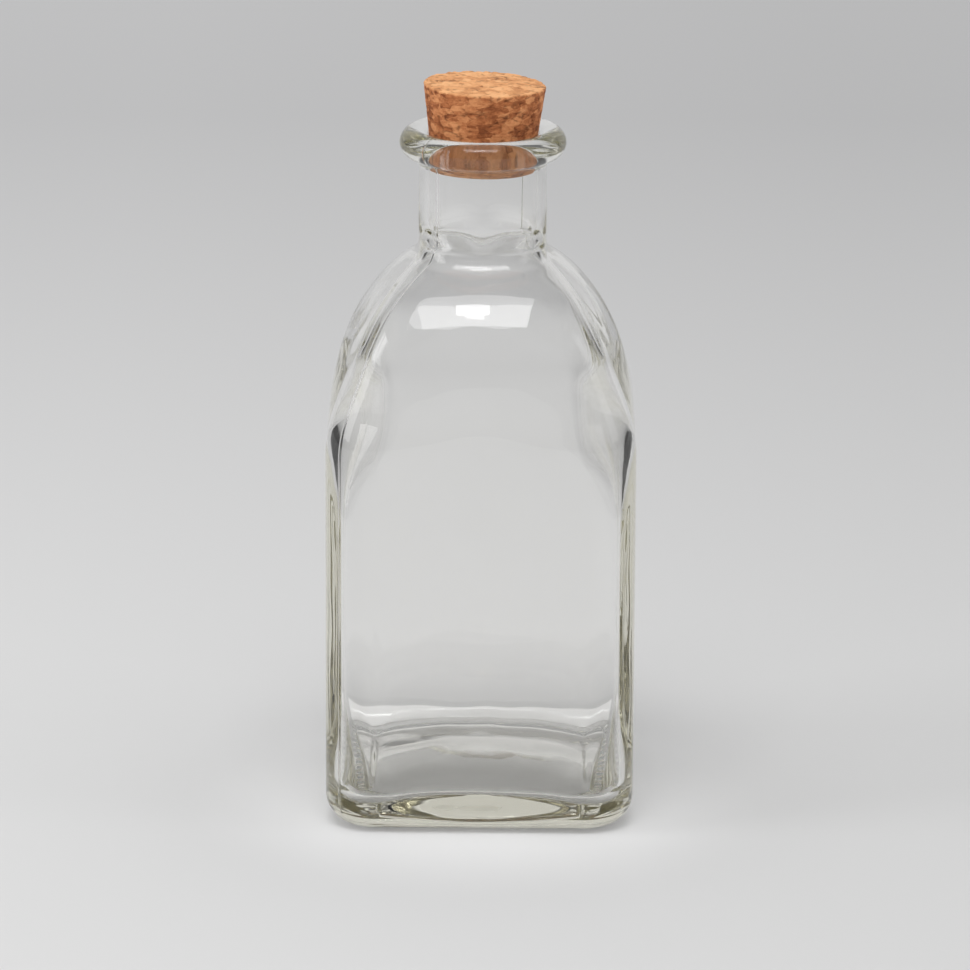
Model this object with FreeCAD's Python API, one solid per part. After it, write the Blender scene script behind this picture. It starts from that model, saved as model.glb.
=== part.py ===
import FreeCAD, Part
import math
import os

# A square glass bottle with a domed shoulder, a round neck with a beaded lip, and a tapered cork.
# Lengths are millimetres. +Z is up the neck, and z = 0 is the surface that the bottle stands on.

# Body
BODY_WIDTH = 61.5
CORNER_RADIUS = 10.0
HEEL_RADIUS = 6.1
WALL = 3.0

# Shoulder: a wide arc that leaves the upright side, then a tighter crown arc that leans in to the neck
SHOULDER_START = 75.0
SIDE_ARC_RADIUS = 61.1
SIDE_ARC_ANGLE = 17.9
CROWN_ARC_RADIUS = 35.2
SHOULDER_WALL = 1.8
SECTIONS_PER_ARC = 5
SIDE_WIDTH_AT_NECK = 0.3

# Neck and lip
NECK_RADIUS = 12.72
NECK_LENGTH = 19.7
NECK_FOOT_RADIUS = 4.0
BORE_RADIUS = 10.75
LIP_BEAD_RADIUS = 2.9
LIP_UNDERCUT_RADIUS = 1.8

# Base: a push-up underneath and a domed floor inside, which leave a square ring to stand on
STANDING_RING_WIDTH = 4.2
PUSH_UP_HEIGHT = 4.5
PUSH_UP_CORNER_RADIUS = 6.0
FLOOR_EDGE_HEIGHT = 5.0
FLOOR_DOME_HEIGHT = 10.5
FLOOR_HEEL_RADIUS = 5.0
FLOOR_CORNER_RADIUS = 0.6

# Cork, measured up and down from the ring where it meets the lip
CORK_LENGTH_OUTSIDE = 11.5
CORK_LENGTH_INSIDE = 5.6
CORK_TAPER_ANGLE = 7.5
CORK_EDGE = 0.35
CORK_LEAN_ANGLE = 1.6
CORK_CLEARANCE = 0.08

# Sizes that follow from the ones above
BODY_HALF = BODY_WIDTH / 2
RING_HALF = BODY_HALF - HEEL_RADIUS
INNER_CORNER_RADIUS = FLOOR_HEEL_RADIUS + FLOOR_CORNER_RADIUS
NECK_WALL = NECK_RADIUS - BORE_RADIUS
LIP_CENTRE_RADIUS = BORE_RADIUS + LIP_BEAD_RADIUS

UP = FreeCAD.Vector(0, 0, 1)
ORIGIN = FreeCAD.Vector(0, 0, 0)


def turned(cx, cz, radius, degrees):
    """Point on a circle in the XZ plane, with the angle counted from +X towards +Z."""
    angle = math.radians(degrees)
    return FreeCAD.Vector(cx + radius * math.cos(angle), 0, cz + radius * math.sin(angle))


def arc_through(cx, cz, radius, start, end):
    """Arc of a circle in the XZ plane, between two angles in degrees."""
    middle = (start + end) / 2
    points = [turned(cx, cz, radius, angle) for angle in (start, middle, end)]
    return Part.Arc(*points).toShape()


def revolved(edges):
    """Solid of revolution about +Z from the edges of a closed outline in the XZ plane."""
    outline = Part.Wire(Part.__sortEdges__(edges))
    return Part.Face(outline).revolve(ORIGIN, UP, 360)


def four_sided(side, corner):
    """Level closed wire from one side and the corner after it, each repeated at every quarter turn."""
    edges = []
    for quarter in range(4):
        for curve in (side, corner):
            edge = curve.toShape()
            edge.rotate(ORIGIN, UP, 90 * quarter)
            edges.append(edge)
    return Part.Wire(edges)


def rounded_square(half, corner, z):
    """Level square wire with round corners."""
    flat = half - corner
    bend = flat + corner * math.cos(math.radians(45))
    start = FreeCAD.Vector(half, -flat, z)
    end = FreeCAD.Vector(half, flat, z)
    corner_arc = Part.Arc(end, FreeCAD.Vector(bend, bend, z), FreeCAD.Vector(flat, half, z))
    return four_sided(Part.LineSegment(start, end), corner_arc)


def round_section(radius, z):
    """Level circle cut into four narrow sides and four corners, to match the square sections below it."""
    half_side = SIDE_WIDTH_AT_NECK / 2
    reach = math.sqrt(radius ** 2 - half_side ** 2)
    bend = radius * math.cos(math.radians(45))
    start = FreeCAD.Vector(reach, -half_side, z)
    end = FreeCAD.Vector(reach, half_side, z)
    corner_arc = Part.Arc(end, FreeCAD.Vector(bend, bend, z), FreeCAD.Vector(half_side, reach, z))
    return four_sided(Part.Arc(start, FreeCAD.Vector(radius, 0, z), end), corner_arc)


def shoulder_outline(inside):
    """Half widths and heights up the shoulder: side arc, crown arc, then the hollow foot of the neck.

    The inner face lies behind the outer one by the wall, which thins up the side arc and ends as the neck's.
    """
    side_x = BODY_HALF - SIDE_ARC_RADIUS
    crown = turned(side_x, SHOULDER_START, SIDE_ARC_RADIUS - CROWN_ARC_RADIUS, SIDE_ARC_ANGLE)

    # The foot's circle touches the crown arc from outside and the upright neck
    foot_x = NECK_RADIUS + NECK_FOOT_RADIUS
    reach = CROWN_ARC_RADIUS + NECK_FOOT_RADIUS
    foot_z = crown.z + math.sqrt(reach ** 2 - (foot_x - crown.x) ** 2)
    touch_angle = math.degrees(math.atan2(foot_z - crown.z, foot_x - crown.x))

    # Each arc has a centre, radius and two angles, the wall at its ends, and the wall's way along the radius
    arcs = [
        (side_x, SHOULDER_START, SIDE_ARC_RADIUS, 0, SIDE_ARC_ANGLE, WALL, SHOULDER_WALL, -1),
        (crown.x, crown.z, CROWN_ARC_RADIUS, SIDE_ARC_ANGLE, touch_angle, SHOULDER_WALL, SHOULDER_WALL, -1),
        (foot_x, foot_z, NECK_FOOT_RADIUS, 180 + touch_angle, 180, SHOULDER_WALL, NECK_WALL, 1),
    ]
    base_half = BODY_HALF - WALL if inside else BODY_HALF
    points = [FreeCAD.Vector(base_half, 0, SHOULDER_START)]
    for cx, cz, radius, start, end, first_wall, last_wall, way in arcs:
        for step in range(1, SECTIONS_PER_ARC + 1):
            share = step / SECTIONS_PER_ARC
            wall = first_wall + (last_wall - first_wall) * share if inside else 0
            points.append(turned(cx, cz, radius + way * wall, start + (end - start) * share))
    return points


def shoulder(inside):
    """Vaulted solid from the square body up to the round neck, through level rounded squares."""
    points = shoulder_outline(inside)
    base_corner = INNER_CORNER_RADIUS if inside else CORNER_RADIUS
    base_half = points[0].x
    neck_radius = points[-1].x
    sections = []
    for point in points[:-1]:
        share = (base_half - point.x) / (base_half - neck_radius)
        corner = base_corner + (neck_radius - base_corner) * share
        sections.append(rounded_square(point.x, corner, point.z))
    sections.append(round_section(neck_radius, points[-1].z))
    return Part.makeLoft(sections, True, False)


def rounded_prism(half, corner, bottom, top):
    """Upright square block with round corners."""
    face = Part.Face(rounded_square(half, corner, bottom))
    return face.extrude(FreeCAD.Vector(0, 0, top - bottom))


def dome(top, edge, half, corner):
    """Ball that peaks on the axis at the top height, and is down at the edge height over a square's corners."""
    rise = top - edge
    reach = (half - corner) * math.sqrt(2) + corner
    radius = (reach ** 2 + rise ** 2) / (2 * rise)
    return Part.makeSphere(radius, FreeCAD.Vector(0, 0, top - radius), FreeCAD.Vector(1, 0, 0))


def edges_at_foot(solid, highest):
    """Edges that lie wholly below a height, which go round the foot of a block."""
    return [edge for edge in solid.Edges if edge.BoundBox.ZMax < highest]


def outer_form():
    """Outside of the bottle as one solid block: heel, body, shoulder, neck and beaded lip."""
    body = rounded_prism(BODY_HALF, CORNER_RADIUS, 0, SHOULDER_START)
    body = body.makeFillet(HEEL_RADIUS, edges_at_foot(body, HEEL_RADIUS))
    return body.fuse(shoulder(False)).fuse(neck_and_lip())


def neck_heights():
    """Height where the upright neck starts, and the height of the middle of the lip's bead."""
    start = shoulder_outline(False)[-1].z
    return start, start + NECK_LENGTH


def neck_and_lip():
    """Round neck that ends in a bead, with a small hollow under the bead."""
    neck_start, lip = neck_heights()
    undercut_x = NECK_RADIUS + LIP_UNDERCUT_RADIUS
    reach = LIP_BEAD_RADIUS + LIP_UNDERCUT_RADIUS
    undercut_z = lip - math.sqrt(reach ** 2 - (undercut_x - LIP_CENTRE_RADIUS) ** 2)
    touch_angle = math.degrees(math.atan2(undercut_z - lip, undercut_x - LIP_CENTRE_RADIUS))

    neck_foot = FreeCAD.Vector(NECK_RADIUS, 0, neck_start)
    neck_end = FreeCAD.Vector(NECK_RADIUS, 0, undercut_z)
    bead_top = turned(LIP_CENTRE_RADIUS, lip, LIP_BEAD_RADIUS, 90)
    axis_foot = FreeCAD.Vector(0, 0, neck_start)
    axis_top = FreeCAD.Vector(0, 0, bead_top.z)
    return revolved([
        Part.makeLine(axis_foot, neck_foot),
        Part.makeLine(neck_foot, neck_end),
        arc_through(undercut_x, undercut_z, LIP_UNDERCUT_RADIUS, 180, 180 + touch_angle),
        arc_through(LIP_CENTRE_RADIUS, lip, LIP_BEAD_RADIUS, touch_angle, 90),
        Part.makeLine(bead_top, axis_top),
        Part.makeLine(axis_top, axis_foot),
    ])


def cavity():
    """Everything inside the glass: domed floor, body, shoulder and bore, open at a rounded mouth."""
    half = BODY_HALF - WALL
    room = rounded_prism(half, INNER_CORNER_RADIUS, FLOOR_EDGE_HEIGHT, SHOULDER_START)
    room = room.makeFillet(FLOOR_HEEL_RADIUS, edges_at_foot(room, FLOOR_EDGE_HEIGHT + FLOOR_HEEL_RADIUS))
    flat_half = half - FLOOR_HEEL_RADIUS
    room = room.cut(dome(FLOOR_DOME_HEIGHT, FLOOR_EDGE_HEIGHT, flat_half, FLOOR_CORNER_RADIUS))
    return room.fuse(shoulder(True)).fuse(bore_and_mouth())


def bore_and_mouth():
    """Straight bore that opens out round the inside of the lip's bead."""
    bore_start, lip = neck_heights()
    bore_foot = FreeCAD.Vector(BORE_RADIUS, 0, bore_start)
    bore_end = FreeCAD.Vector(BORE_RADIUS, 0, lip)
    bead_top = turned(LIP_CENTRE_RADIUS, lip, LIP_BEAD_RADIUS, 90)
    axis_foot = FreeCAD.Vector(0, 0, bore_start)
    axis_top = FreeCAD.Vector(0, 0, bead_top.z)
    return revolved([
        Part.makeLine(axis_foot, bore_foot),
        Part.makeLine(bore_foot, bore_end),
        arc_through(LIP_CENTRE_RADIUS, lip, LIP_BEAD_RADIUS, 180, 90),
        Part.makeLine(bead_top, axis_top),
        Part.makeLine(axis_top, axis_foot),
    ])


def push_up():
    """Shallow dome pressed into the underside, square in plan, inside the standing ring."""
    half = RING_HALF - STANDING_RING_WIDTH
    block = rounded_prism(half, PUSH_UP_CORNER_RADIUS, 0, PUSH_UP_HEIGHT)
    return block.common(dome(PUSH_UP_HEIGHT, 0, half, PUSH_UP_CORNER_RADIUS))


def bottle():
    """The blown glass bottle, one hollow piece."""
    return outer_form().cut(cavity()).cut(push_up()).removeSplitter()


def cork_stopper():
    """Tapered cork, pushed in until it meets the inside of the lip, and leaning a little."""
    lip = neck_heights()[1]
    taper = math.radians(CORK_TAPER_ANGLE)
    gap = LIP_BEAD_RADIUS + CORK_CLEARANCE
    seat_radius = LIP_CENTRE_RADIUS - gap * math.cos(taper)
    seat_z = lip + gap * math.sin(taper)
    top_radius = seat_radius + CORK_LENGTH_OUTSIDE * math.tan(taper)
    bottom_radius = seat_radius - CORK_LENGTH_INSIDE * math.tan(taper)

    length = CORK_LENGTH_INSIDE + CORK_LENGTH_OUTSIDE
    bottom = FreeCAD.Vector(0, 0, seat_z - CORK_LENGTH_INSIDE)
    cone = Part.makeCone(bottom_radius, top_radius, length, bottom)
    rims = [edge for edge in cone.Edges if edge.BoundBox.ZLength < CORK_EDGE]
    cork = cone.makeChamfer(CORK_EDGE, rims)
    cork.rotate(FreeCAD.Vector(0, 0, lip), FreeCAD.Vector(0, 1, 0), CORK_LEAN_ANGLE)
    return cork


def main():
    """Write each piece to its own file."""
    os.makedirs("parts", exist_ok=True)
    for name, piece in (("bottle", bottle()), ("cork_stopper", cork_stopper())):
        piece.exportStep(os.path.join("parts", name + ".step"))


main()
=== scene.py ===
"""Looks of a square corked glass bottle: clear moulded glass, a raw tapered cork and a pale studio sweep.

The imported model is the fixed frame. Lengths are metres, +Z is up the neck, and the bottle stands at z = 0
with its -Y side towards the camera.
"""
import logging
import math
from dataclasses import dataclass, field
from enum import Enum

import bmesh
import bpy
from mathutils import Matrix, Vector, noise


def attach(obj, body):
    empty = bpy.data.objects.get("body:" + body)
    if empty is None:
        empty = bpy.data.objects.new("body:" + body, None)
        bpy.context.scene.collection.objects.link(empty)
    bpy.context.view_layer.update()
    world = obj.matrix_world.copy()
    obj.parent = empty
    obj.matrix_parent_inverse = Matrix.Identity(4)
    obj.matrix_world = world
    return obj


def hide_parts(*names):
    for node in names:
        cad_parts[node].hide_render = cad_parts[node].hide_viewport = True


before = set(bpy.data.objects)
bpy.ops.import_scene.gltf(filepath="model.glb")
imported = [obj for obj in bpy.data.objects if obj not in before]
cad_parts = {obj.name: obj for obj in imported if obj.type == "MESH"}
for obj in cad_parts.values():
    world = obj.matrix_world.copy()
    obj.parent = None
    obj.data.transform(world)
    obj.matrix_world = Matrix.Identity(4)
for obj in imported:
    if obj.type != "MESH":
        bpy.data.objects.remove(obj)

LOG = logging.getLogger("bottle")
MM = 0.001
LIGHT_BOUNCES = 64
AIM_HEIGHT = 70 * MM
Colour = tuple[float, float, float, float]
Span = tuple[float, float]
Tree = bpy.types.NodeTree
Socket = bpy.types.NodeSocket


class Face(Enum):
    """Which side of the glass wall a ring of points lies on."""

    UNDERSIDE = "underside"
    OUTSIDE = "outside"
    INSIDE = "inside"


class Ease(Enum):
    """How a value runs between the ends of its new range."""

    LINEAR = "LINEAR"
    SMOOTH = "SMOOTHSTEP"
    SMOOTHER = "SMOOTHERSTEP"


@dataclass
class Ring:
    """One level ring of the glass: a rounded square, or a circle where the corner equals the half width."""

    half: float
    corner: float
    height: float
    face: Face = Face.OUTSIDE
    dome: float = 0.0
    ridges: float = 0.0


def rounded_square_point(angle: float, half: float, corner: float) -> tuple[float, float]:
    """Find where a direction from the axis meets a rounded square.

    Args:
        angle: direction from +X towards +Y, in radians.
        half: half the width of the square.
        corner: radius of its corners.

    Returns:
        x and y of the point.
    """
    across = math.cos(angle)
    along = math.sin(angle)
    longer = max(abs(across), abs(along))
    shorter = min(abs(across), abs(along))
    flat = max(half - corner, 0.0)
    reach = half / longer
    if shorter * reach > flat:
        toward = flat * (longer + shorter)
        reach = toward + math.sqrt(max(toward ** 2 - 2 * flat ** 2 + corner ** 2, 0.0))
    return across * reach, along * reach


def arc_points(cx: float, cz: float, radius: float, start: float, end: float, count: int) -> list[tuple[float, float]]:
    """Points along an arc of a circle in the section plane, without its first point.

    Args:
        cx: distance of the circle's centre from the axis.
        cz: height of the circle's centre.
        radius: radius of the circle.
        start: first angle in degrees, from outwards towards up.
        end: last angle in degrees.
        count: how many points.

    Returns:
        Pairs of distance from the axis and height.
    """
    points = []
    for step in range(1, count + 1):
        angle = math.radians(start + (end - start) * step / count)
        points.append((cx + radius * math.cos(angle), cz + radius * math.sin(angle)))
    return points


def smoothstep(low: float, high: float, value: float) -> float:
    """Ease from 0 at low to 1 at high, either of which may be the larger."""
    share = min(max((value - low) / (high - low), 0.0), 1.0)
    return share * share * (3 - 2 * share)


def mesh_object(name: str, bm: bmesh.types.BMesh) -> bpy.types.Object:
    """Turn a finished bmesh into a smooth-shaded object at the origin and free the bmesh.

    Args:
        name: name of the piece.
        bm: its mesh, in the row's frame.

    Returns:
        The new object.
    """
    mesh = bpy.data.meshes.new(name)
    bm.to_mesh(mesh)
    bm.free()
    for polygon in mesh.polygons:
        polygon.use_smooth = True
    piece = bpy.data.objects.new(name, mesh)
    bpy.context.scene.collection.objects.link(piece)
    return piece


def pull_ring(bm: bmesh.types.BMesh, ring: list[bmesh.types.BMVert], places: list[Vector]) -> list[bmesh.types.BMVert]:
    """Extrude a closed ring of vertices and move the new ring to its places.

    Args:
        bm: the mesh that holds the ring.
        ring: its vertices in order.
        places: one place for each vertex.

    Returns:
        The new ring's vertices, in the same order.
    """
    count = len(ring)
    edges = [bm.edges.get((ring[i], ring[(i + 1) % count])) for i in range(count)]
    made = bmesh.ops.extrude_edge_only(bm, edges=edges)["geom"]
    fresh = {item for item in made if isinstance(item, bmesh.types.BMVert)}
    pulled = []
    for vert, place in zip(ring, places):
        twin = next(edge.other_vert(vert) for edge in vert.link_edges if edge.other_vert(vert) in fresh)
        twin.co = place
        pulled.append(twin)
    return pulled


def close_ring(bm: bmesh.types.BMesh, ring: list[bmesh.types.BMVert], centre: Vector) -> None:
    """Close a small ring with a fan of faces round one vertex.

    Args:
        bm: the mesh that holds the ring.
        ring: its vertices in order.
        centre: place of the vertex in its middle.
    """
    count = len(ring)
    edges = [bm.edges.get((ring[i], ring[(i + 1) % count])) for i in range(count)]
    made = bmesh.ops.extrude_edge_only(bm, edges=edges)["geom"]
    fresh = [item for item in made if isinstance(item, bmesh.types.BMVert)]
    bmesh.ops.pointmerge(bm, verts=fresh, merge_co=centre)


def combine(tree: Tree, operation: str, one: Socket, other: Socket | None = None) -> Socket:
    """Join two values by one operation, or work on one alone.

    Args:
        tree: the node tree.
        operation: name of the operation.
        one: the first value.
        other: the second value, if there is one.

    Returns:
        The result's socket.
    """
    node = tree.nodes.new("ShaderNodeMath")
    node.operation = operation
    tree.links.new(one, node.inputs[0])
    if other is not None:
        tree.links.new(other, node.inputs[1])
    return node.outputs["Value"]


def map_range(tree: Tree, value: Socket, source: Span, target: Span = (0.0, 1.0), ease: Ease = Ease.LINEAR) -> Socket:
    """Map a value from one range to another, held at both ends.

    Args:
        tree: the node tree.
        value: the value.
        source: its range, the lower end first.
        target: what the two ends become.
        ease: how it runs between them.

    Returns:
        The new value's socket.
    """
    node = tree.nodes.new("ShaderNodeMapRange")
    node.interpolation_type = ease.value
    node.inputs["From Min"].default_value, node.inputs["From Max"].default_value = source
    node.inputs["To Min"].default_value, node.inputs["To Max"].default_value = target
    tree.links.new(value, node.inputs["Value"])
    return node.outputs["Result"]


@dataclass
class GlassBottle:
    """The moulded glass: one closed wall from the push-up, over the lip, to the domed floor inside."""

    body_half: float = 30.75 * MM
    corner: float = 10.0 * MM
    heel: float = 6.1 * MM
    wall: float = 3.0 * MM
    shoulder_start: float = 75.0 * MM
    side_arc: float = 61.1 * MM
    side_arc_angle: float = 17.9
    crown_arc: float = 35.2 * MM
    neck: float = 12.72 * MM
    neck_foot: float = 4.0 * MM
    neck_length: float = 19.7 * MM
    bore: float = 10.75 * MM
    bead: float = 2.9 * MM
    undercut: float = 1.8 * MM
    ring_width: float = 4.2 * MM
    push_up: float = 4.5 * MM
    push_up_corner: float = 6.0 * MM
    floor_edge: float = 5.0 * MM
    floor_top: float = 10.5 * MM
    floor_heel: float = 5.0 * MM
    inner_corner: float = 3.0 * MM
    inner_floor_corner: float = 6.0 * MM
    floor_rounding: float = 35.0 * MM
    shoulder_wall: float = 1.6 * MM
    thinning: Span = (80.0 * MM, 96.0 * MM)
    corner_opening: Span = (61.0 * MM, 91.0 * MM)
    corner_closing: Span = (90.0 * MM, 99.0 * MM)
    shoulder_corner: float = 14.0 * MM
    neck_wall_start: Span = (106.0 * MM, 113.0 * MM)
    bow: float = 0.45
    bow_start: Span = (78.0 * MM, 96.0 * MM)
    bow_sharpen: float = 4.0 * MM
    ridge_pitch: float = 2.5 * MM
    ridge_depth: float = 0.28 * MM
    seam_height: float = 0.10 * MM
    seam_half_width: float = 0.22 * MM
    seam_columns: tuple[float, ...] = (-1.6, -0.8, 0.8, 1.6)
    least_corner: float = 2.0 * MM
    wander_patch: float = 17.0 * MM
    wander_depth: float = 0.22 * MM
    wander_end: Span = (108.0 * MM, 122.0 * MM)
    heel_steps: int = 12
    body_steps: int = 5
    side_steps: int = 14
    crown_steps: int = 20
    foot_steps: int = 10
    neck_steps: int = 3
    hollow_steps: int = 8
    bead_steps: int = 20
    mouth_steps: int = 12
    bore_steps: int = 9
    room_steps: int = 22
    fillet_steps: int = 12
    stand_steps: int = 6
    push_shares: tuple[float, ...] = (0.04, 0.12, 0.24, 0.38, 0.52, 0.66, 0.78, 0.88, 0.95)
    push_edge: tuple[Span, ...] = ((-0.35 * MM, 1.0), (-0.1 * MM, 0.9), (0.1 * MM, 0.55), (0.3 * MM, 0.15),
                                   (0.55 * MM, 0.0))
    floor_shares: tuple[float, ...] = (0.94, 0.86, 0.76, 0.64, 0.5, 0.36, 0.22, 0.1, 0.03)
    column_zones: tuple[tuple[int, int, int], ...] = ((0, 34, 26), (34, 40, 11), (40, 50, 32), (50, 56, 11),
                                                      (56, 90, 26))
    name: str = "bottle_glass"
    angles: list[float] = field(default_factory=list)

    def __post_init__(self) -> None:
        """Set the directions of the columns: closer at the corners, with a few more beside the two mould seams."""
        quarter = []
        for start, end, count in self.column_zones:
            quarter += [start + (end - start) * step / count for step in range(count)]
        even = [math.radians(90 * side + degrees) for side in range(4) for degrees in quarter]
        extra = []
        diagonal = math.sqrt(2) * (self.body_half - self.corner) + self.corner
        for seam in self.seam_angles():
            for share in self.seam_columns:
                extra.append(seam + share * self.seam_half_width / diagonal)
        self.angles = sorted(even + extra)

    @staticmethod
    def seam_angles() -> tuple[float, float]:
        """Directions of the mould's two seams: the front left corner and the back right corner."""
        return math.radians(225), math.radians(45)

    def shoulder_path(self) -> list[tuple[float, float]]:
        """Follow the outside of the shoulder, from the body's top to the upright neck.

        Returns:
            Pairs of half width and height.
        """
        side_x = self.body_half - self.side_arc
        lean = math.radians(self.side_arc_angle)
        crown_x = side_x + (self.side_arc - self.crown_arc) * math.cos(lean)
        crown_z = self.shoulder_start + (self.side_arc - self.crown_arc) * math.sin(lean)
        foot_x = self.neck + self.neck_foot
        reach = self.crown_arc + self.neck_foot
        foot_z = crown_z + math.sqrt(reach ** 2 - (foot_x - crown_x) ** 2)
        touch = math.degrees(math.atan2(foot_z - crown_z, foot_x - crown_x))
        path = arc_points(side_x, self.shoulder_start, self.side_arc, 0, self.side_arc_angle, self.side_steps)
        path += arc_points(crown_x, crown_z, self.crown_arc, self.side_arc_angle, touch, self.crown_steps)
        path += arc_points(foot_x, foot_z, self.neck_foot, 180 + touch, 180, self.foot_steps)
        return path

    def dome_drop(self, x: float, y: float, top: float, edge: float, half: float, corner: float) -> float:
        """Find the height of a ball-shaped dome over a point.

        Args:
            x: the point's x.
            y: the point's y.
            top: height of the dome's middle.
            edge: its height over the corners of the square that it covers.
            half: half the square's width.
            corner: radius of the square's corners.

        Returns:
            The height.
        """
        rise = top - edge
        reach = (half - corner) * math.sqrt(2) + corner
        radius = (reach ** 2 + rise ** 2) / (2 * rise)
        out = min(math.hypot(x, y), reach)
        return top - radius + math.sqrt(radius ** 2 - out ** 2)

    def underside_rings(self) -> list[Ring]:
        """Rings from the middle of the push-up out to the foot of the heel.

        Returns:
            The rings in order.
        """
        ring_half = self.body_half - self.heel
        push_half = ring_half - self.ring_width
        rings = []
        for share in self.push_shares:
            rings.append(Ring(push_half * share, self.push_up_corner * share, 0, Face.UNDERSIDE, 1.0))
        last = self.push_edge[-1][0]
        for out, dome in self.push_edge:
            rings.append(Ring(push_half + out, self.push_up_corner + out, 0, Face.UNDERSIDE, dome))
        inner = push_half + last
        inner_corner = self.push_up_corner + last
        outer_corner = self.corner - self.heel
        for step in range(1, self.stand_steps + 1):
            share = step / self.stand_steps
            ridges = math.sin(math.pi * min(max((share - 0.02) / 0.96, 0), 1)) ** 0.5 if share < 1 else 0.0
            half = inner + (ring_half - inner) * share
            corner = inner_corner + (outer_corner - inner_corner) * share
            rings.append(Ring(half, corner, 0, Face.UNDERSIDE, 0.0, ridges))
        return rings

    def outside_rings(self) -> list[Ring]:
        """Rings up the outside, from the heel to the top of the lip's bead.

        Returns:
            The rings in order.
        """
        rings = []
        ring_half = self.body_half - self.heel
        flat = self.body_half - self.corner
        for half, height in arc_points(ring_half, self.heel, self.heel, -90, 0, self.heel_steps):
            rings.append(Ring(half, half - flat, height))
        for step in range(1, self.body_steps + 1):
            height = self.heel + (self.shoulder_start - self.heel) * step / self.body_steps
            rings.append(Ring(self.body_half, self.corner, height))
        path = self.shoulder_path()
        rings += [Ring(out, self.outside_corner(out), height) for out, height in path]
        neck_start = path[-1][1]
        lip = neck_start + self.neck_length
        lip_centre = self.bore + self.bead
        hollow_x = self.neck + self.undercut
        hollow_z = lip - math.sqrt((self.bead + self.undercut) ** 2 - (hollow_x - lip_centre) ** 2)
        touch = math.degrees(math.atan2(hollow_z - lip, hollow_x - lip_centre))
        for step in range(1, self.neck_steps + 1):
            height = neck_start + (hollow_z - neck_start) * step / self.neck_steps
            rings.append(Ring(self.neck, self.neck, height))
        hollow = arc_points(hollow_x, hollow_z, self.undercut, 180, 180 + touch, self.hollow_steps)
        bead = arc_points(lip_centre, lip, self.bead, touch, 90, self.bead_steps)
        return rings + [Ring(out, out, height) for out, height in hollow + bead]

    def inside_rings(self) -> list[Ring]:
        """Rings down the inside, from the lip's bead to the middle of the floor.

        Returns:
            The rings in order.
        """
        neck_start = self.shoulder_path()[-1][1]
        lip = neck_start + self.neck_length
        lip_centre = self.bore + self.bead
        rings = [Ring(out, out, height, Face.INSIDE)
                 for out, height in arc_points(lip_centre, lip, self.bead, 90, 180, self.mouth_steps)]
        half = self.body_half - self.wall
        for step in range(1, self.bore_steps):
            height = lip + (neck_start - lip) * step / self.bore_steps
            rings.append(Ring(self.bore, self.bore, height, Face.INSIDE))
        rings += reversed(self.inside_shoulder())
        floor_top = self.floor_edge + self.floor_heel
        for step in range(1, self.room_steps + 1):
            height = self.shoulder_start + (floor_top - self.shoulder_start) * step / self.room_steps
            corner = self.inside_corner(height, self.corner - self.wall)
            rings.append(Ring(half, corner, height, Face.INSIDE))
        flat = half - self.inner_floor_corner
        flat_half = half - self.floor_heel
        flat_corner = self.inner_floor_corner - self.floor_heel
        for out, height in arc_points(flat_half, floor_top, self.floor_heel, 0, -90, self.fillet_steps):
            dome = smoothstep(floor_top, self.floor_edge, height) if height < floor_top else 0.0
            rings.append(Ring(out, out - flat, height, Face.INSIDE, dome))
        for share in self.floor_shares:
            rings.append(Ring(flat_half * share, flat_corner * share, self.floor_edge, Face.INSIDE, 1.0))
        return rings

    def inside_corner(self, height: float, follow: float) -> float:
        """Corner radius of the inner face: tight up the body, open at the floor, and wide under the shoulder.

        Args:
            height: height on the bottle.
            follow: radius that would keep the wall even round the corner.

        Returns:
            The corner's radius.
        """
        low = 1 - smoothstep(self.floor_edge + self.floor_heel, self.floor_rounding, height)
        tight = self.inner_corner + (self.inner_floor_corner - self.inner_corner) * low
        wide = tight + (self.shoulder_corner - tight) * smoothstep(*self.corner_opening, height)
        return wide + (follow - wide) * smoothstep(*self.corner_closing, height)

    def outside_corner(self, out: float) -> float:
        """Corner radius of the outer face of the shoulder at a half width."""
        share = (self.body_half - out) / (self.body_half - self.neck)
        return min(self.corner + (self.neck - self.corner) * share, out)

    def wall_at(self, height: float) -> float:
        """Find the thickness of the glass under the shoulder's outer face.

        Args:
            height: height on the outer face.

        Returns:
            The thickness.
        """
        thin = smoothstep(*self.thinning, height)
        neck = smoothstep(*self.neck_wall_start, height)
        wall = self.wall + (self.shoulder_wall - self.wall) * thin
        return wall + (self.neck - self.bore - wall) * neck

    def inside_shoulder(self) -> list[Ring]:
        """Rings up the inside of the shoulder, set in from the outer face by the wall at each height.

        Returns:
            The rings in order.
        """
        outer = [(self.body_half, self.shoulder_start)] + self.shoulder_path()
        below = (self.body_half, self.shoulder_start - MM)
        above = (self.neck, outer[-1][1] + MM)
        padded = [below] + outer + [above]
        rings = []
        for before, (out, height), after in zip(padded, outer, padded[2:]):
            run = Vector((after[0] - before[0], after[1] - before[1])).normalized()
            wall = self.wall_at(height)
            half = out - run.y * wall
            corner = self.inside_corner(height, self.outside_corner(out) - (out - half))
            rings.append(Ring(half, min(corner, half), height + run.x * wall, Face.INSIDE))
        return rings

    def ridge_cut(self, x: float, y: float) -> float:
        """Depth of the valleys between the short ridges of the standing ring.

        Args:
            x: x of a point on the ring.
            y: its y.

        Returns:
            The depth at the point.
        """
        half = self.body_half - self.heel - self.ring_width / 2
        corner = self.push_up_corner
        flat = half - corner
        along, across = (y, x) if abs(x) > abs(y) else (x, y)
        side = abs(along)
        if side <= flat:
            length = side
        else:
            length = flat + corner * math.atan2(side - flat, max(abs(across) - flat, 1e-6))
        quarter = flat + corner * math.pi / 4
        count = round(quarter / self.ridge_pitch - 0.5) + 0.5
        return self.ridge_depth * (0.5 - 0.5 * math.cos(2 * math.pi * length * count / quarter))

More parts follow.
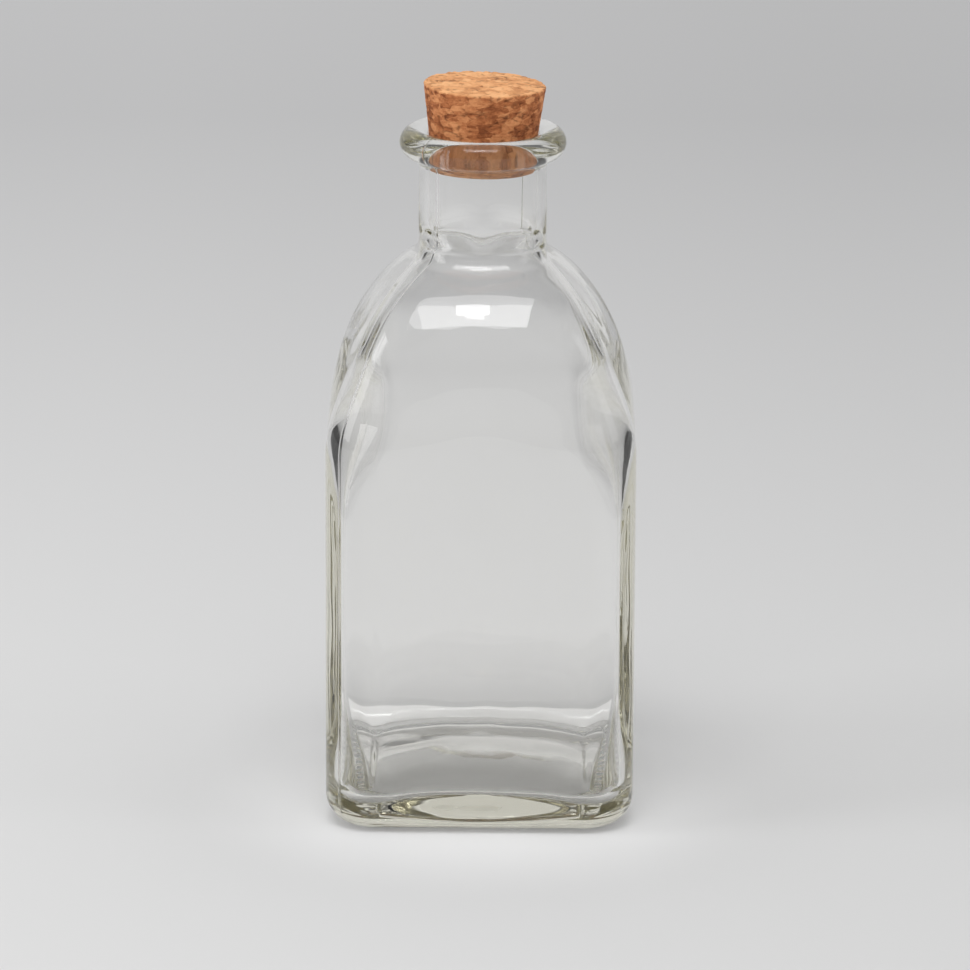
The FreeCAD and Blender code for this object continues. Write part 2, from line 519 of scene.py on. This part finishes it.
    def place(self, angle: float, ring: Ring) -> Vector:
        """Find the place of one vertex of a ring, with its dome, ridges and seam.

        Args:
            angle: the vertex's direction from the axis.
            ring: the ring.

        Returns:
            The place.
        """
        bow = self.bow * smoothstep(*self.bow_start, ring.height)
        sharper = max(ring.corner - self.bow_sharpen * bow / self.bow, min(ring.corner, self.least_corner))
        if ring.corner >= ring.half:
            sharper = ring.half
        x, y = rounded_square_point(angle, ring.half, sharper)
        round_x = ring.half * math.cos(angle)
        round_y = ring.half * math.sin(angle)
        x += (round_x - x) * bow
        y += (round_y - y) * bow
        height = ring.height
        if ring.face is Face.UNDERSIDE:
            push_half = self.body_half - self.heel - self.ring_width
            height += ring.dome * max(self.dome_drop(x, y, self.push_up, 0, push_half, self.push_up_corner), 0)
            height += ring.ridges * self.ridge_cut(x, y)
        elif ring.face is Face.INSIDE and ring.dome:
            flat_half = self.body_half - self.wall - self.floor_heel
            flat_corner = self.inner_floor_corner - self.floor_heel
            dome = self.dome_drop(x, y, self.floor_top, self.floor_edge, flat_half, flat_corner)
            height += ring.dome * (dome - self.floor_edge)
        elif ring.face is Face.OUTSIDE and ring.height > self.heel / 2:
            bump = self.seam_bump(angle, math.hypot(x, y))
            x += bump * math.cos(angle)
            y += bump * math.sin(angle)
        return Vector((x, y, height))

    def seam_bump(self, angle: float, out: float) -> float:
        """Height of the mould seam, or 0 away from it.

        Args:
            angle: direction from the axis.
            out: distance from the axis.

        Returns:
            The height.
        """
        for seam in self.seam_angles():
            away = abs(angle - seam) * out
            if away < 2 * self.seam_half_width:
                return self.seam_height * (1 - smoothstep(0, 1.5 * self.seam_half_width, away))
        return 0.0

    def build(self) -> bpy.types.Object:
        """Pull the wall ring by ring, close both ends, and let the inner face wander a little.

        Returns:
            The glass as one object.
        """
        rings = self.underside_rings() + self.outside_rings() + self.inside_rings()
        bm = bmesh.new()
        start = bmesh.ops.create_circle(bm, cap_ends=False, segments=len(self.angles), radius=rings[0].half)["verts"]
        for vert, angle in zip(start, self.angles):
            vert.co = self.place(angle, rings[0])
        loop = list(start)
        inner = []
        for ring in rings[1:]:
            loop = pull_ring(bm, loop, [self.place(angle, ring) for angle in self.angles])
            if ring.face is Face.INSIDE:
                inner += loop
        close_ring(bm, list(start), Vector((0, 0, self.push_up)))
        close_ring(bm, loop, Vector((0, 0, self.floor_top)))
        bmesh.ops.recalc_face_normals(bm, faces=bm.faces)
        bm.normal_update()
        self.wander(inner)
        return mesh_object(self.name, bm)

    def wander(self, inner: list[bmesh.types.BMVert]) -> None:
        """Move the inner face in and out, as the air in a mould leaves it, fading out at the mouth.

        Args:
            inner: the vertices of the inner face.
        """
        fade, still = self.wander_end
        for vert in inner:
            steady = smoothstep(still, fade, vert.co.z)
            spot = vert.co / self.wander_patch
            spot.z *= 0.6
            shift = noise.noise(spot) + 0.35 * noise.noise(spot * 2.7)
            vert.co += vert.normal * (self.wander_depth * steady * shift)


@dataclass
class CorkStopper:
    """The raw cork: a short cone with pits, a torn top edge and a slight lean."""

    seat_radius: float = 10.695 * MM
    seat_height: float = 135.2 * MM
    outside: float = 11.5 * MM
    inside: float = 5.6 * MM
    taper: float = 7.5
    lean: float = 1.6
    lean_pivot: float = 134.81 * MM
    edge: float = 0.45 * MM
    pit_depth: float = 0.32 * MM
    grain_depth: float = 0.05 * MM
    tear_depth: float = 0.55 * MM
    slope_depth: float = 0.3 * MM
    coarse_pit_scale: Span = (420.0, 640.0)
    fine_pit_scale: Span = (900.0, 1200.0)
    coarse_pit_limits: Span = (0.42, 0.80)
    fine_pit_limits: Span = (0.40, 0.66)
    pit_shares: Span = (0.75, 0.6)
    grain_scales: Span = (1500.0, 3100.0)
    tear_scales: Span = (5.0, 14.0)
    tear_zone: float = 1.2 * MM
    slope_bearing: Span = (0.62, 0.78)
    painted_light_foot: float = 0.55
    painted_light_foot_zone: Span = (1.0 * MM, -3.0 * MM)
    columns: int = 260
    side_steps: int = 76
    top_steps: int = 36
    foot_shares: tuple[float, ...] = (0.03, 0.15, 0.3, 0.45, 0.6, 0.75, 0.87)
    name: str = "cork_stopper_raw"

    def radius(self, height: float) -> float:
        """Radius of the cone at a height."""
        return self.seat_radius + (height - self.seat_height) * math.tan(math.radians(self.taper))

    def pit(self, spot: Vector) -> float:
        """Find how deep in a pit a point of the cork lies.

        Args:
            spot: the point.

        Returns:
            The depth, from 0 to 1.
        """
        across, along = self.coarse_pit_scale
        wide = Vector((spot.x * across, spot.y * across, spot.z * along))
        across, along = self.fine_pit_scale
        fine = Vector((spot.x * across + 7, spot.y * across, spot.z * along + 3))
        coarse = smoothstep(*self.coarse_pit_limits, noise.noise(wide) + 0.5 * noise.noise(wide * 2.3))
        small = smoothstep(*self.fine_pit_limits, noise.noise(fine))
        coarse_share, small_share = self.pit_shares
        return max(coarse_share * coarse, small_share * small)

    def build(self) -> bpy.types.Object:
        """Pull the cork from the middle of its foot to the middle of its top and carve it.

        Returns:
            The cork as one object, with its pits and its paler ends as the attributes named pit and end.
        """
        bottom = self.seat_height - self.inside
        top = self.seat_height + self.outside
        foot = self.radius(bottom)
        brim = self.radius(top)
        edge = self.edge
        path = [(foot * share, bottom) for share in self.foot_shares]
        path += [(foot - edge, bottom), (foot - edge * 0.3, bottom + edge * 0.3)]
        for step in range(self.side_steps + 1):
            height = bottom + edge + (top - bottom - 2 * edge) * step / self.side_steps
            path.append((self.radius(height), height))
        path += [(brim - edge * 0.25, top - edge * 0.35), (brim - edge * 0.9, top)]
        path += [((brim - edge) * (1 - step / self.top_steps), top) for step in range(1, self.top_steps)]
        bm = bmesh.new()
        start = bmesh.ops.create_circle(bm, cap_ends=False, segments=self.columns, radius=path[0][0])["verts"]
        turns = [2 * math.pi * step / self.columns for step in range(self.columns)]
        loop = list(start)
        for vert, turn in zip(start, turns):
            vert.co = Vector((path[0][0] * math.cos(turn), path[0][0] * math.sin(turn), path[0][1]))
        for out, height in path[1:]:
            places = [Vector((out * math.cos(turn), out * math.sin(turn), height)) for turn in turns]
            loop = pull_ring(bm, loop, places)
        close_ring(bm, list(start), Vector((0, 0, bottom)))
        close_ring(bm, loop, Vector((0, 0, top)))
        bmesh.ops.recalc_face_normals(bm, faces=bm.faces)
        bm.normal_update()
        self.carve(bm, bottom, top)
        return mesh_object(self.name, bm)

    def carve(self, bm: bmesh.types.BMesh, bottom: float, top: float) -> None:
        """Sink the pits, tear the top edge and slope the back of the top, then lean the cork.

        Args:
            bm: the cork's mesh.
            bottom: height of its foot.
            top: height of its top.
        """
        pit_layer = bm.verts.layers.float.new("pit")
        painted_light_layer = bm.verts.layers.float.new("end")
        foot_start, foot_full = [self.seat_height + height for height in self.painted_light_foot_zone]
        coarse_grain, fine_grain = self.grain_scales
        moves = []
        for vert in bm.verts:
            spot = vert.co.copy()
            pit = self.pit(spot)
            vert[pit_layer] = pit
            # Painted light: the foot inside the neck is painted paler, standing in for light that the glass keeps from
            # it.
            foot = self.painted_light_foot * smoothstep(foot_start, foot_full, spot.z)
            # Painted light: faces that look up or down get the paler palette, as if lit from above.
            vert[painted_light_layer] = max(smoothstep(0.35, 0.8, abs(vert.normal.z)), foot)
            grain = noise.noise(spot * coarse_grain) + 0.6 * noise.noise(spot * fine_grain)
            move = vert.normal * (-self.pit_depth * pit)
            move -= vert.normal * (self.grain_depth * (1 + grain))
            if spot.z > top - self.tear_zone:
                move.z -= self.top_drop(spot, self.radius(top))
            if spot.z < bottom + 0.3 * MM:
                move *= 0.6
            moves.append(move)
        for vert, move in zip(bm.verts, moves):
            vert.co += move
        pivot = Vector((0, 0, self.lean_pivot))
        lean = Matrix.Rotation(math.radians(self.lean), 3, "Y")
        bmesh.ops.rotate(bm, cent=pivot, matrix=lean, verts=bm.verts)

    def top_drop(self, spot: Vector, brim: float) -> float:
        """Find how far the torn edge and the slope of the top lower a point.

        Args:
            spot: the point.
            brim: radius of the top.

        Returns:
            The drop.
        """
        rim = smoothstep(0.86, 1.0, math.hypot(spot.x, spot.y) / brim)
        turn = math.atan2(spot.y, spot.x)
        wide, narrow = self.tear_scales
        tear = max(noise.noise(Vector((math.cos(turn) * wide, math.sin(turn) * wide, 2.0))), 0)
        tear += 0.6 * max(noise.noise(Vector((math.cos(turn) * narrow, math.sin(turn) * narrow, 5.0))), 0)
        back = smoothstep(0.0, 1.0, (spot.x * self.slope_bearing[0] + spot.y * self.slope_bearing[1]) / brim)
        return rim * tear * self.tear_depth + back * self.slope_depth


@dataclass(frozen=True)
class ClearGlass:
    """Clear bottle glass with a faint olive tint where it is thick."""

    ior: float = 1.51
    tint: Colour = (0.80, 0.78, 0.64, 1.0)
    density: float = 16.0
    wave: float = 0.05
    wave_depth: float = 2.0 * MM
    wave_scale: float = 70.0

    def material(self) -> bpy.types.Material:
        """Build the glass material.

        Returns:
            The material.
        """
        made = bpy.data.materials.new("clear_glass_look")
        made.use_nodes = True
        nodes = made.node_tree.nodes
        links = made.node_tree.links
        shader = nodes["Principled BSDF"]
        shader.inputs["Base Color"].default_value = (1.0, 1.0, 1.0, 1.0)
        shader.inputs["Roughness"].default_value = 0.0
        shader.inputs["IOR"].default_value = self.ior
        shader.inputs["Transmission Weight"].default_value = 1.0
        coords = nodes.new("ShaderNodeTexCoord")
        mapping = nodes.new("ShaderNodeMapping")
        mapping.inputs["Scale"].default_value = (1.0, 1.0, 0.35)
        waves = nodes.new("ShaderNodeTexNoise")
        waves.inputs["Scale"].default_value = self.wave_scale
        waves.inputs["Detail"].default_value = 1.0
        bump = nodes.new("ShaderNodeBump")
        bump.inputs["Strength"].default_value = self.wave
        bump.inputs["Distance"].default_value = self.wave_depth
        links.new(coords.outputs["Object"], mapping.inputs["Vector"])
        links.new(mapping.outputs["Vector"], waves.inputs["Vector"])
        links.new(waves.outputs["Fac"], bump.inputs["Height"])
        links.new(bump.outputs["Normal"], shader.inputs["Normal"])
        volume = nodes.new("ShaderNodeVolumeAbsorption")
        volume.inputs["Color"].default_value = self.tint
        volume.inputs["Density"].default_value = self.density
        links.new(volume.outputs["Volume"], nodes["Material Output"].inputs["Volume"])
        return made


@dataclass(frozen=True)
class RawCork:
    """Raw cork of pressed grains: warm brown sides with darker specks between the grains; painted light gives the ends
    and the foot inside the neck a paler palette.
    """

    pale: Colour = (0.78, 0.335, 0.140, 1.0)
    middle: Colour = (0.50, 0.170, 0.061, 1.0)
    deep: Colour = (0.27, 0.078, 0.026, 1.0)
    dark: Colour = (0.105, 0.030, 0.010, 1.0)
    painted_light_pale: Colour = (0.97, 0.52, 0.245, 1.0)
    painted_light_middle: Colour = (0.84, 0.405, 0.175, 1.0)
    painted_light_deep: Colour = (0.64, 0.285, 0.118, 1.0)
    layer_squash: float = 1.9
    grain_scale: float = 480.0
    broad_scale: float = 330.0
    fine_scale: float = 1000.0
    speck_scale: float = 300.0
    crumple: float = 1.6 * MM
    crumple_scale: float = 700.0
    speck_reach: float = 0.26
    speck_patches: Span = (0.52, 0.70)
    speck_strength: float = 0.85
    ramp_places: tuple[float, float, float] = (0.38, 0.47, 0.62)
    bump_depth: float = 0.5 * MM

    def material(self) -> bpy.types.Material:
        """Build the cork material.

        Returns:
            The material.
        """
        made = bpy.data.materials.new("raw_cork_look")
        made.use_nodes = True
        tree = made.node_tree
        nodes = tree.nodes
        links = tree.links
        shader = nodes["Principled BSDF"]
        shader.inputs["Roughness"].default_value = 0.85
        shader.inputs["Specular IOR Level"].default_value = 0.25
        coords = nodes.new("ShaderNodeTexCoord")
        layers = nodes.new("ShaderNodeMapping")
        layers.inputs["Scale"].default_value = (1.0, 1.0, self.layer_squash)
        links.new(coords.outputs["Object"], layers.inputs["Vector"])
        crumpled = self.crumpled(tree, layers.outputs["Vector"])

        grain = nodes.new("ShaderNodeMix")
        grain.inputs["Factor"].default_value = 0.4
        links.new(self.noise(tree, crumpled, self.fine_scale, 8.0, 0.74), grain.inputs["A"])
        links.new(self.noise(tree, crumpled, self.broad_scale, 2.0, 0.5), grain.inputs["B"])
        cells = nodes.new("ShaderNodeTexVoronoi")
        cells.inputs["Scale"].default_value = self.grain_scale
        links.new(crumpled, cells.inputs["Vector"])
        own = nodes.new("ShaderNodeSeparateXYZ")
        links.new(cells.outputs["Color"], own.inputs["Vector"])
        blend = nodes.new("ShaderNodeMix")
        blend.inputs["Factor"].default_value = 0.20
        links.new(grain.outputs["Result"], blend.inputs["A"])
        links.new(own.outputs["X"], blend.inputs["B"])
        # Painted light: the end attribute mixes in the paler palette on the ends and on the foot inside the neck.
        ends = nodes.new("ShaderNodeAttribute")
        ends.attribute_name = "end"
        tone = nodes.new("ShaderNodeMix")
        tone.data_type = "RGBA"
        links.new(ends.outputs["Fac"], tone.inputs["Factor"])
        links.new(self.tones(tree, blend.outputs["Result"], self.deep, self.middle, self.pale), tone.inputs["A"])
        links.new(self.tones(tree, blend.outputs["Result"], self.painted_light_deep, self.painted_light_middle, self.painted_light_pale),
                  tone.inputs["B"])

        pits = nodes.new("ShaderNodeAttribute")
        pits.attribute_name = "pit"
        shade = nodes.new("ShaderNodeMix")
        shade.data_type = "RGBA"
        shade.inputs["B"].default_value = self.dark
        links.new(combine(tree, "MAXIMUM", self.specks(tree, crumpled), pits.outputs["Fac"]), shade.inputs["Factor"])
        links.new(tone.outputs["Result"], shade.inputs["A"])
        links.new(shade.outputs["Result"], shader.inputs["Base Color"])

        bump = nodes.new("ShaderNodeBump")
        bump.inputs["Strength"].default_value = 0.8
        bump.inputs["Distance"].default_value = self.bump_depth
        links.new(blend.outputs["Result"], bump.inputs["Height"])
        links.new(bump.outputs["Normal"], shader.inputs["Normal"])
        return made

    def tones(self, tree: Tree, value: Socket, deep: Colour, middle: Colour, pale: Colour) -> Socket:
        """Turn a value into a colour between three tones.

        Args:
            tree: the material's node tree.
            value: the value, about 0.5 in the middle.
            deep: colour of the low values.
            middle: colour just under the middle.
            pale: colour of the high values.

        Returns:
            The colour's socket.
        """
        low, centre, high = self.ramp_places
        ramp = tree.nodes.new("ShaderNodeValToRGB")
        ramp.color_ramp.elements[0].position = low
        ramp.color_ramp.elements[0].color = deep
        ramp.color_ramp.elements[1].position = high
        ramp.color_ramp.elements[1].color = pale
        ramp.color_ramp.elements.new(centre).color = middle
        tree.links.new(value, ramp.inputs["Fac"])
        return ramp.outputs["Color"]

    def crumpled(self, tree: Tree, place: Socket) -> Socket:
        """Shift the places a little by noise, so that the grains get ragged edges.

        Args:
            tree: the material's node tree.
            place: the places to shift.

        Returns:
            The shifted places.
        """
        noise_node = tree.nodes.new("ShaderNodeTexNoise")
        noise_node.inputs["Scale"].default_value = self.crumple_scale
        noise_node.inputs["Detail"].default_value = 4.0
        tree.links.new(place, noise_node.inputs["Vector"])
        shift = tree.nodes.new("ShaderNodeVectorMath")
        shift.operation = "MULTIPLY_ADD"
        shift.inputs[1].default_value = (self.crumple, self.crumple, self.crumple)
        tree.links.new(noise_node.outputs["Color"], shift.inputs[0])
        tree.links.new(place, shift.inputs[2])
        return shift.outputs["Vector"]

    def specks(self, tree: Tree, place: Socket) -> Socket:
        """Dark specks that lie along parts of the grains' edges.

        Args:
            tree: the material's node tree.
            place: the places that the grains use.

        Returns:
            How dark each place is, from 0 to 1.
        """
        edge = tree.nodes.new("ShaderNodeTexVoronoi")
        edge.feature = "DISTANCE_TO_EDGE"
        edge.inputs["Scale"].default_value = self.grain_scale
        tree.links.new(place, edge.inputs["Vector"])
        line = map_range(tree, edge.outputs["Distance"], (0.0, self.speck_reach), (1.0, 0.0), Ease.SMOOTH)
        patch = self.noise(tree, place, self.speck_scale, 3.0, 0.6)
        some = map_range(tree, patch, self.speck_patches, (0.0, self.speck_strength))
        return combine(tree, "MULTIPLY", line, some)

    @staticmethod
    def noise(tree: Tree, place: Socket, scale: float, detail: float, rough: float) -> Socket:
        """Noise at the given places.

        Args:
            tree: the material's node tree.
            place: the places.
            scale: how many features to a metre.
            detail: octaves of finer noise.
            rough: strength of the finer octaves.

        Returns:
            The noise value's socket.
        """
        node = tree.nodes.new("ShaderNodeTexNoise")
        node.inputs["Scale"].default_value = scale
        node.inputs["Detail"].default_value = detail
        node.inputs["Roughness"].default_value = rough
        tree.links.new(place, node.inputs["Vector"])
        return node.outputs["Fac"]


@dataclass(frozen=True)
class StudioSweep:
    """Pale floor with painted shade: its colour darkens gently with distance and to the right, as light falls off
    across a lit paper sweep.

    It has a painted pool of light under and before the bottle, and a painted caustic, a pale strip behind it that only
    the glass shows, both standing in for light that the glass gathers on the floor.
    """

    near: Colour = (0.705, 0.705, 0.705, 1.0)
    far: Colour = (0.585, 0.585, 0.59, 1.0)
    beyond: Colour = (0.74, 0.74, 0.745, 1.0)
    fade: tuple[float, float, float] = (0.05, 0.60, 1.40)
    painted_shade_right_loss: float = 0.35
    painted_light_pool_place: tuple[float, float, float] = (0.0, -8.0 * MM, 0.0)
    painted_light_pool_reach: float = 68.0 * MM
    painted_light_pool_gain: float = 0.50
    strip_half: float = 24.0 * MM
    strip_front: float = 31.0 * MM
    strip_back: float = 45.0 * MM
    strip_edge: float = 3.0 * MM
    painted_caustic_gain: float = 0.55
    painted_light_left_gain: float = 1.03
    side_reach: float = 0.1
    floor_half: float = 4.0

    def material(self) -> bpy.types.Material:
        """Build the floor's material.

        Returns:
            The material.
        """
        made = bpy.data.materials.new("studio_sweep_look")
        made.use_nodes = True
        tree = made.node_tree
        nodes = tree.nodes
        links = tree.links
        shader = nodes["Principled BSDF"]
        shader.inputs["Roughness"].default_value = 0.9
        shader.inputs["Specular IOR Level"].default_value = 0.1
        coords = nodes.new("ShaderNodeTexCoord")
        split = nodes.new("ShaderNodeSeparateXYZ")
        links.new(coords.outputs["Object"], split.inputs["Vector"])
        # Painted shade: the floor's colour darkens with distance from the bottle, then pales again far off.
        start, middle, end = self.fade
        tones = nodes.new("ShaderNodeValToRGB")
        tones.color_ramp.elements[0].color = self.near
        tones.color_ramp.elements[1].color = self.beyond
        tones.color_ramp.elements.new((middle - start) / (end - start)).color = self.far
        links.new(map_range(tree, split.outputs["Y"], (start, end)), tones.inputs["Fac"])

        # Painted light and shade: the floor is painted a little paler to the left and darker to the right.
        reach = self.side_reach
        side_end = self.painted_light_left_gain - self.painted_shade_right_loss * 2 * reach
        side = map_range(tree, split.outputs["X"], (-reach, reach), (self.painted_light_left_gain, side_end))
        # Painted pool of light: the floor is painted paler under and before the bottle.
        away = nodes.new("ShaderNodeVectorMath")
        away.operation = "DISTANCE"
        away.inputs[1].default_value = self.painted_light_pool_place
        links.new(coords.outputs["Object"], away.inputs[0])
        painted_light_pool = map_range(tree, away.outputs["Value"], (0.0, self.painted_light_pool_reach), (1.0 + self.painted_light_pool_gain, 1.0),
                         Ease.SMOOTHER)
        painted_caustics = combine(tree, "ADD", painted_light_pool, self.strip(tree, split))
        lit = nodes.new("ShaderNodeVectorMath")
        lit.operation = "SCALE"
        links.new(tones.outputs["Color"], lit.inputs[0])
        links.new(combine(tree, "MULTIPLY", side, painted_caustics), lit.inputs["Scale"])
        links.new(lit.outputs["Vector"], shader.inputs["Base Color"])
        return made

    def strip(self, tree: Tree, split: bpy.types.Node) -> Socket:
        """Painted caustic: a pale strip of painted light on the floor close behind the bottle, left out where the
        camera sees the floor itself.

        Args:
            tree: the floor's node tree.
            split: the node that gives X and Y.

        Returns:
            What the strip adds to the floor's gain.
        """
        path = tree.nodes.new("ShaderNodeLightPath")
        gain = map_range(tree, path.outputs["Is Camera Ray"], (0.0, 1.0), (self.painted_caustic_gain, 0.0))
        edge = self.strip_edge
        across = combine(tree, "ABSOLUTE", split.outputs["X"])
        along = split.outputs["Y"]
        for value, source, target in ((across, (self.strip_half - edge, self.strip_half), (1.0, 0.0)),
                                      (along, (self.strip_front - edge, self.strip_front), (0.0, 1.0)),
                                      (along, (self.strip_back - edge, self.strip_back), (1.0, 0.0))):
            gain = combine(tree, "MULTIPLY", gain, map_range(tree, value, source, target, Ease.SMOOTH))
        return gain

    def build(self) -> None:
        """Lay the floor under the bottle."""
        bm = bmesh.new()
        bmesh.ops.create_grid(bm, x_segments=1, y_segments=1, size=self.floor_half)
        floor = mesh_object("studio_floor", bm)
        floor.data.materials.append(self.material())


@dataclass(frozen=True)
class SoftLight:
    """One rectangular softbox that points at the bottle."""

    name: str
    azimuth: float
    elevation: float
    distance: float
    width: float
    height: float
    radiance: float
    turned: float = 0.0

    def build(self) -> None:
        """Hang the softbox at its bearing from the bottle's middle, turned off that bearing by its own angle."""
        data = bpy.data.lights.new(self.name, "AREA")
        data.shape = "RECTANGLE"
        data.size = self.width
        data.size_y = self.height
        data.energy = self.radiance * math.pi * self.width * self.height
        lamp = bpy.data.objects.new(self.name, data)
        aim = Vector((0, 0, AIM_HEIGHT))
        azimuth = math.radians(self.azimuth)
        elevation = math.radians(self.elevation)
        away = Vector((math.sin(azimuth) * math.cos(elevation), -math.cos(azimuth) * math.cos(elevation),
                       math.sin(elevation)))
        lamp.location = aim + away * self.distance
        back_turn = Matrix.Rotation(math.radians(self.turned), 3, "Z")
        lamp.rotation_euler = (back_turn @ away).to_track_quat("Z", "Y").to_euler()
        bpy.context.scene.collection.objects.link(lamp)


@dataclass(frozen=True)
class Camera:
    """Long lens above and in front of the bottle."""

    distance: float = 1.392
    elevation: float = 15.94
    azimuth: float = 0.30
    roll: float = 0.293
    lens: float = 257.36
    target: float = AIM_HEIGHT
    aim_right: float = 0.74 * MM
    aim_down: float = 5.82 * MM

    def build(self) -> None:
        """Place the camera and make it the scene's own."""
        data = bpy.data.cameras.new("camera")
        data.sensor_width = 36.0
        data.lens = self.lens
        data.clip_start = 0.05
        data.clip_end = 20.0
        camera = bpy.data.objects.new("camera", data)
        elevation = math.radians(self.elevation)
        azimuth = math.radians(self.azimuth)
        back = Vector((math.sin(azimuth) * math.cos(elevation), -math.cos(azimuth) * math.cos(elevation),
                       math.sin(elevation)))
        target = Vector((0, 0, self.target))
        eye = target + back * self.distance
        right = Vector((math.cos(azimuth), math.sin(azimuth), 0))
        up = back.cross(right)
        aim = target + right * self.aim_right - up * self.aim_down
        facing = (eye - aim).normalized()
        side = Vector((0, 0, 1)).cross(facing).normalized()
        over = facing.cross(side)
        roll = math.radians(self.roll)
        rolled_side = side * math.cos(roll) + over * math.sin(roll)
        rolled_over = over * math.cos(roll) - side * math.sin(roll)
        turn = Matrix((rolled_side, rolled_over, facing)).transposed()
        camera.matrix_world = Matrix.Translation(eye) @ turn.to_4x4()
        bpy.context.scene.collection.objects.link(camera)
        bpy.context.scene.camera = camera


@dataclass(frozen=True)
class StudioAir:
    """The studio round the bottle: the sweep rises behind it, and the rest of the room is dim.

    The floor and the cork are lit by an even level. What the glass mirrors and bends is the room itself.
    """

    even_level: float = 0.70
    sweep_level: float = 0.66
    room_level: float = 0.16
    sweep_top: Span = (0.42, 0.60)
    sweep_side: Span = (-0.15, 0.25)
    flag_side: Span = (0.60, 0.72)
    flag_share: float = 0.92

    def build(self) -> None:
        """Set the world's light."""
        world = bpy.data.worlds.new("studio_air")
        world.use_nodes = True
        tree = world.node_tree
        nodes = tree.nodes
        links = tree.links
        background = nodes["Background"]
        background.inputs["Color"].default_value = (1.0, 1.0, 1.0, 1.0)
        coords = nodes.new("ShaderNodeTexCoord")
        split = nodes.new("ShaderNodeSeparateXYZ")
        links.new(coords.outputs["Generated"], split.inputs["Vector"])
        below = map_range(tree, split.outputs["Z"], self.sweep_top, (1.0, 0.0), Ease.SMOOTH)
        beyond = map_range(tree, split.outputs["Y"], self.sweep_side, ease=Ease.SMOOTH)
        behind = combine(tree, "MULTIPLY", below, beyond)
        room = map_range(tree, behind, (0.0, 1.0), (self.room_level, self.sweep_level))
        across = combine(tree, "ABSOLUTE", split.outputs["X"])
        flags = map_range(tree, across, self.flag_side, (1.0, 1.0 - self.flag_share), Ease.SMOOTH)
        seen = combine(tree, "MULTIPLY", room, flags)
        path = nodes.new("ShaderNodeLightPath")
        level = nodes.new("ShaderNodeMix")
        level.inputs["B"].default_value = self.even_level
        links.new(path.outputs["Diffuse Depth"], level.inputs["Factor"])
        links.new(seen, level.inputs["A"])
        links.new(level.outputs["Result"], background.inputs["Strength"])
        bpy.context.scene.world = world


def main() -> None:
    """Build the bottle, its cork and the studio, in that order."""
    logging.basicConfig(level=logging.INFO)
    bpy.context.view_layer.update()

    glass = GlassBottle().build()
    glass.data.materials.append(ClearGlass().material())
    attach(glass, "glass")
    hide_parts("bottle")
    LOG.info("glass: %d faces", len(glass.data.polygons))

    cork = CorkStopper().build()
    cork.data.materials.append(RawCork().material())
    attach(cork, "cork")
    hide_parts("cork_stopper")
    LOG.info("cork: %d faces", len(cork.data.polygons))

    StudioSweep().build()
    StudioAir().build()
    SoftLight("softbox_over_front", azimuth=-6.5, elevation=66, distance=1.3, width=0.76, height=0.5,
              radiance=3.2, turned=6.5).build()
    SoftLight("softbox_core", azimuth=-7.5, elevation=66, distance=1.28, width=0.24, height=0.17,
              radiance=6.5, turned=7.5).build()
    SoftLight("softbox_left", azimuth=-75, elevation=25, distance=1.5, width=0.5, height=1.0, radiance=2.5).build()
    SoftLight("softbox_right", azimuth=75, elevation=25, distance=1.5, width=0.5, height=1.0, radiance=0.9).build()
    Camera().build()
    bpy.context.scene.view_settings.view_transform = "Standard"
    for limit in ("max_bounces", "transmission_bounces", "glossy_bounces"):
        setattr(bpy.context.scene.cycles, limit, LIGHT_BOUNCES)


if __name__ == "__main__":
    main()
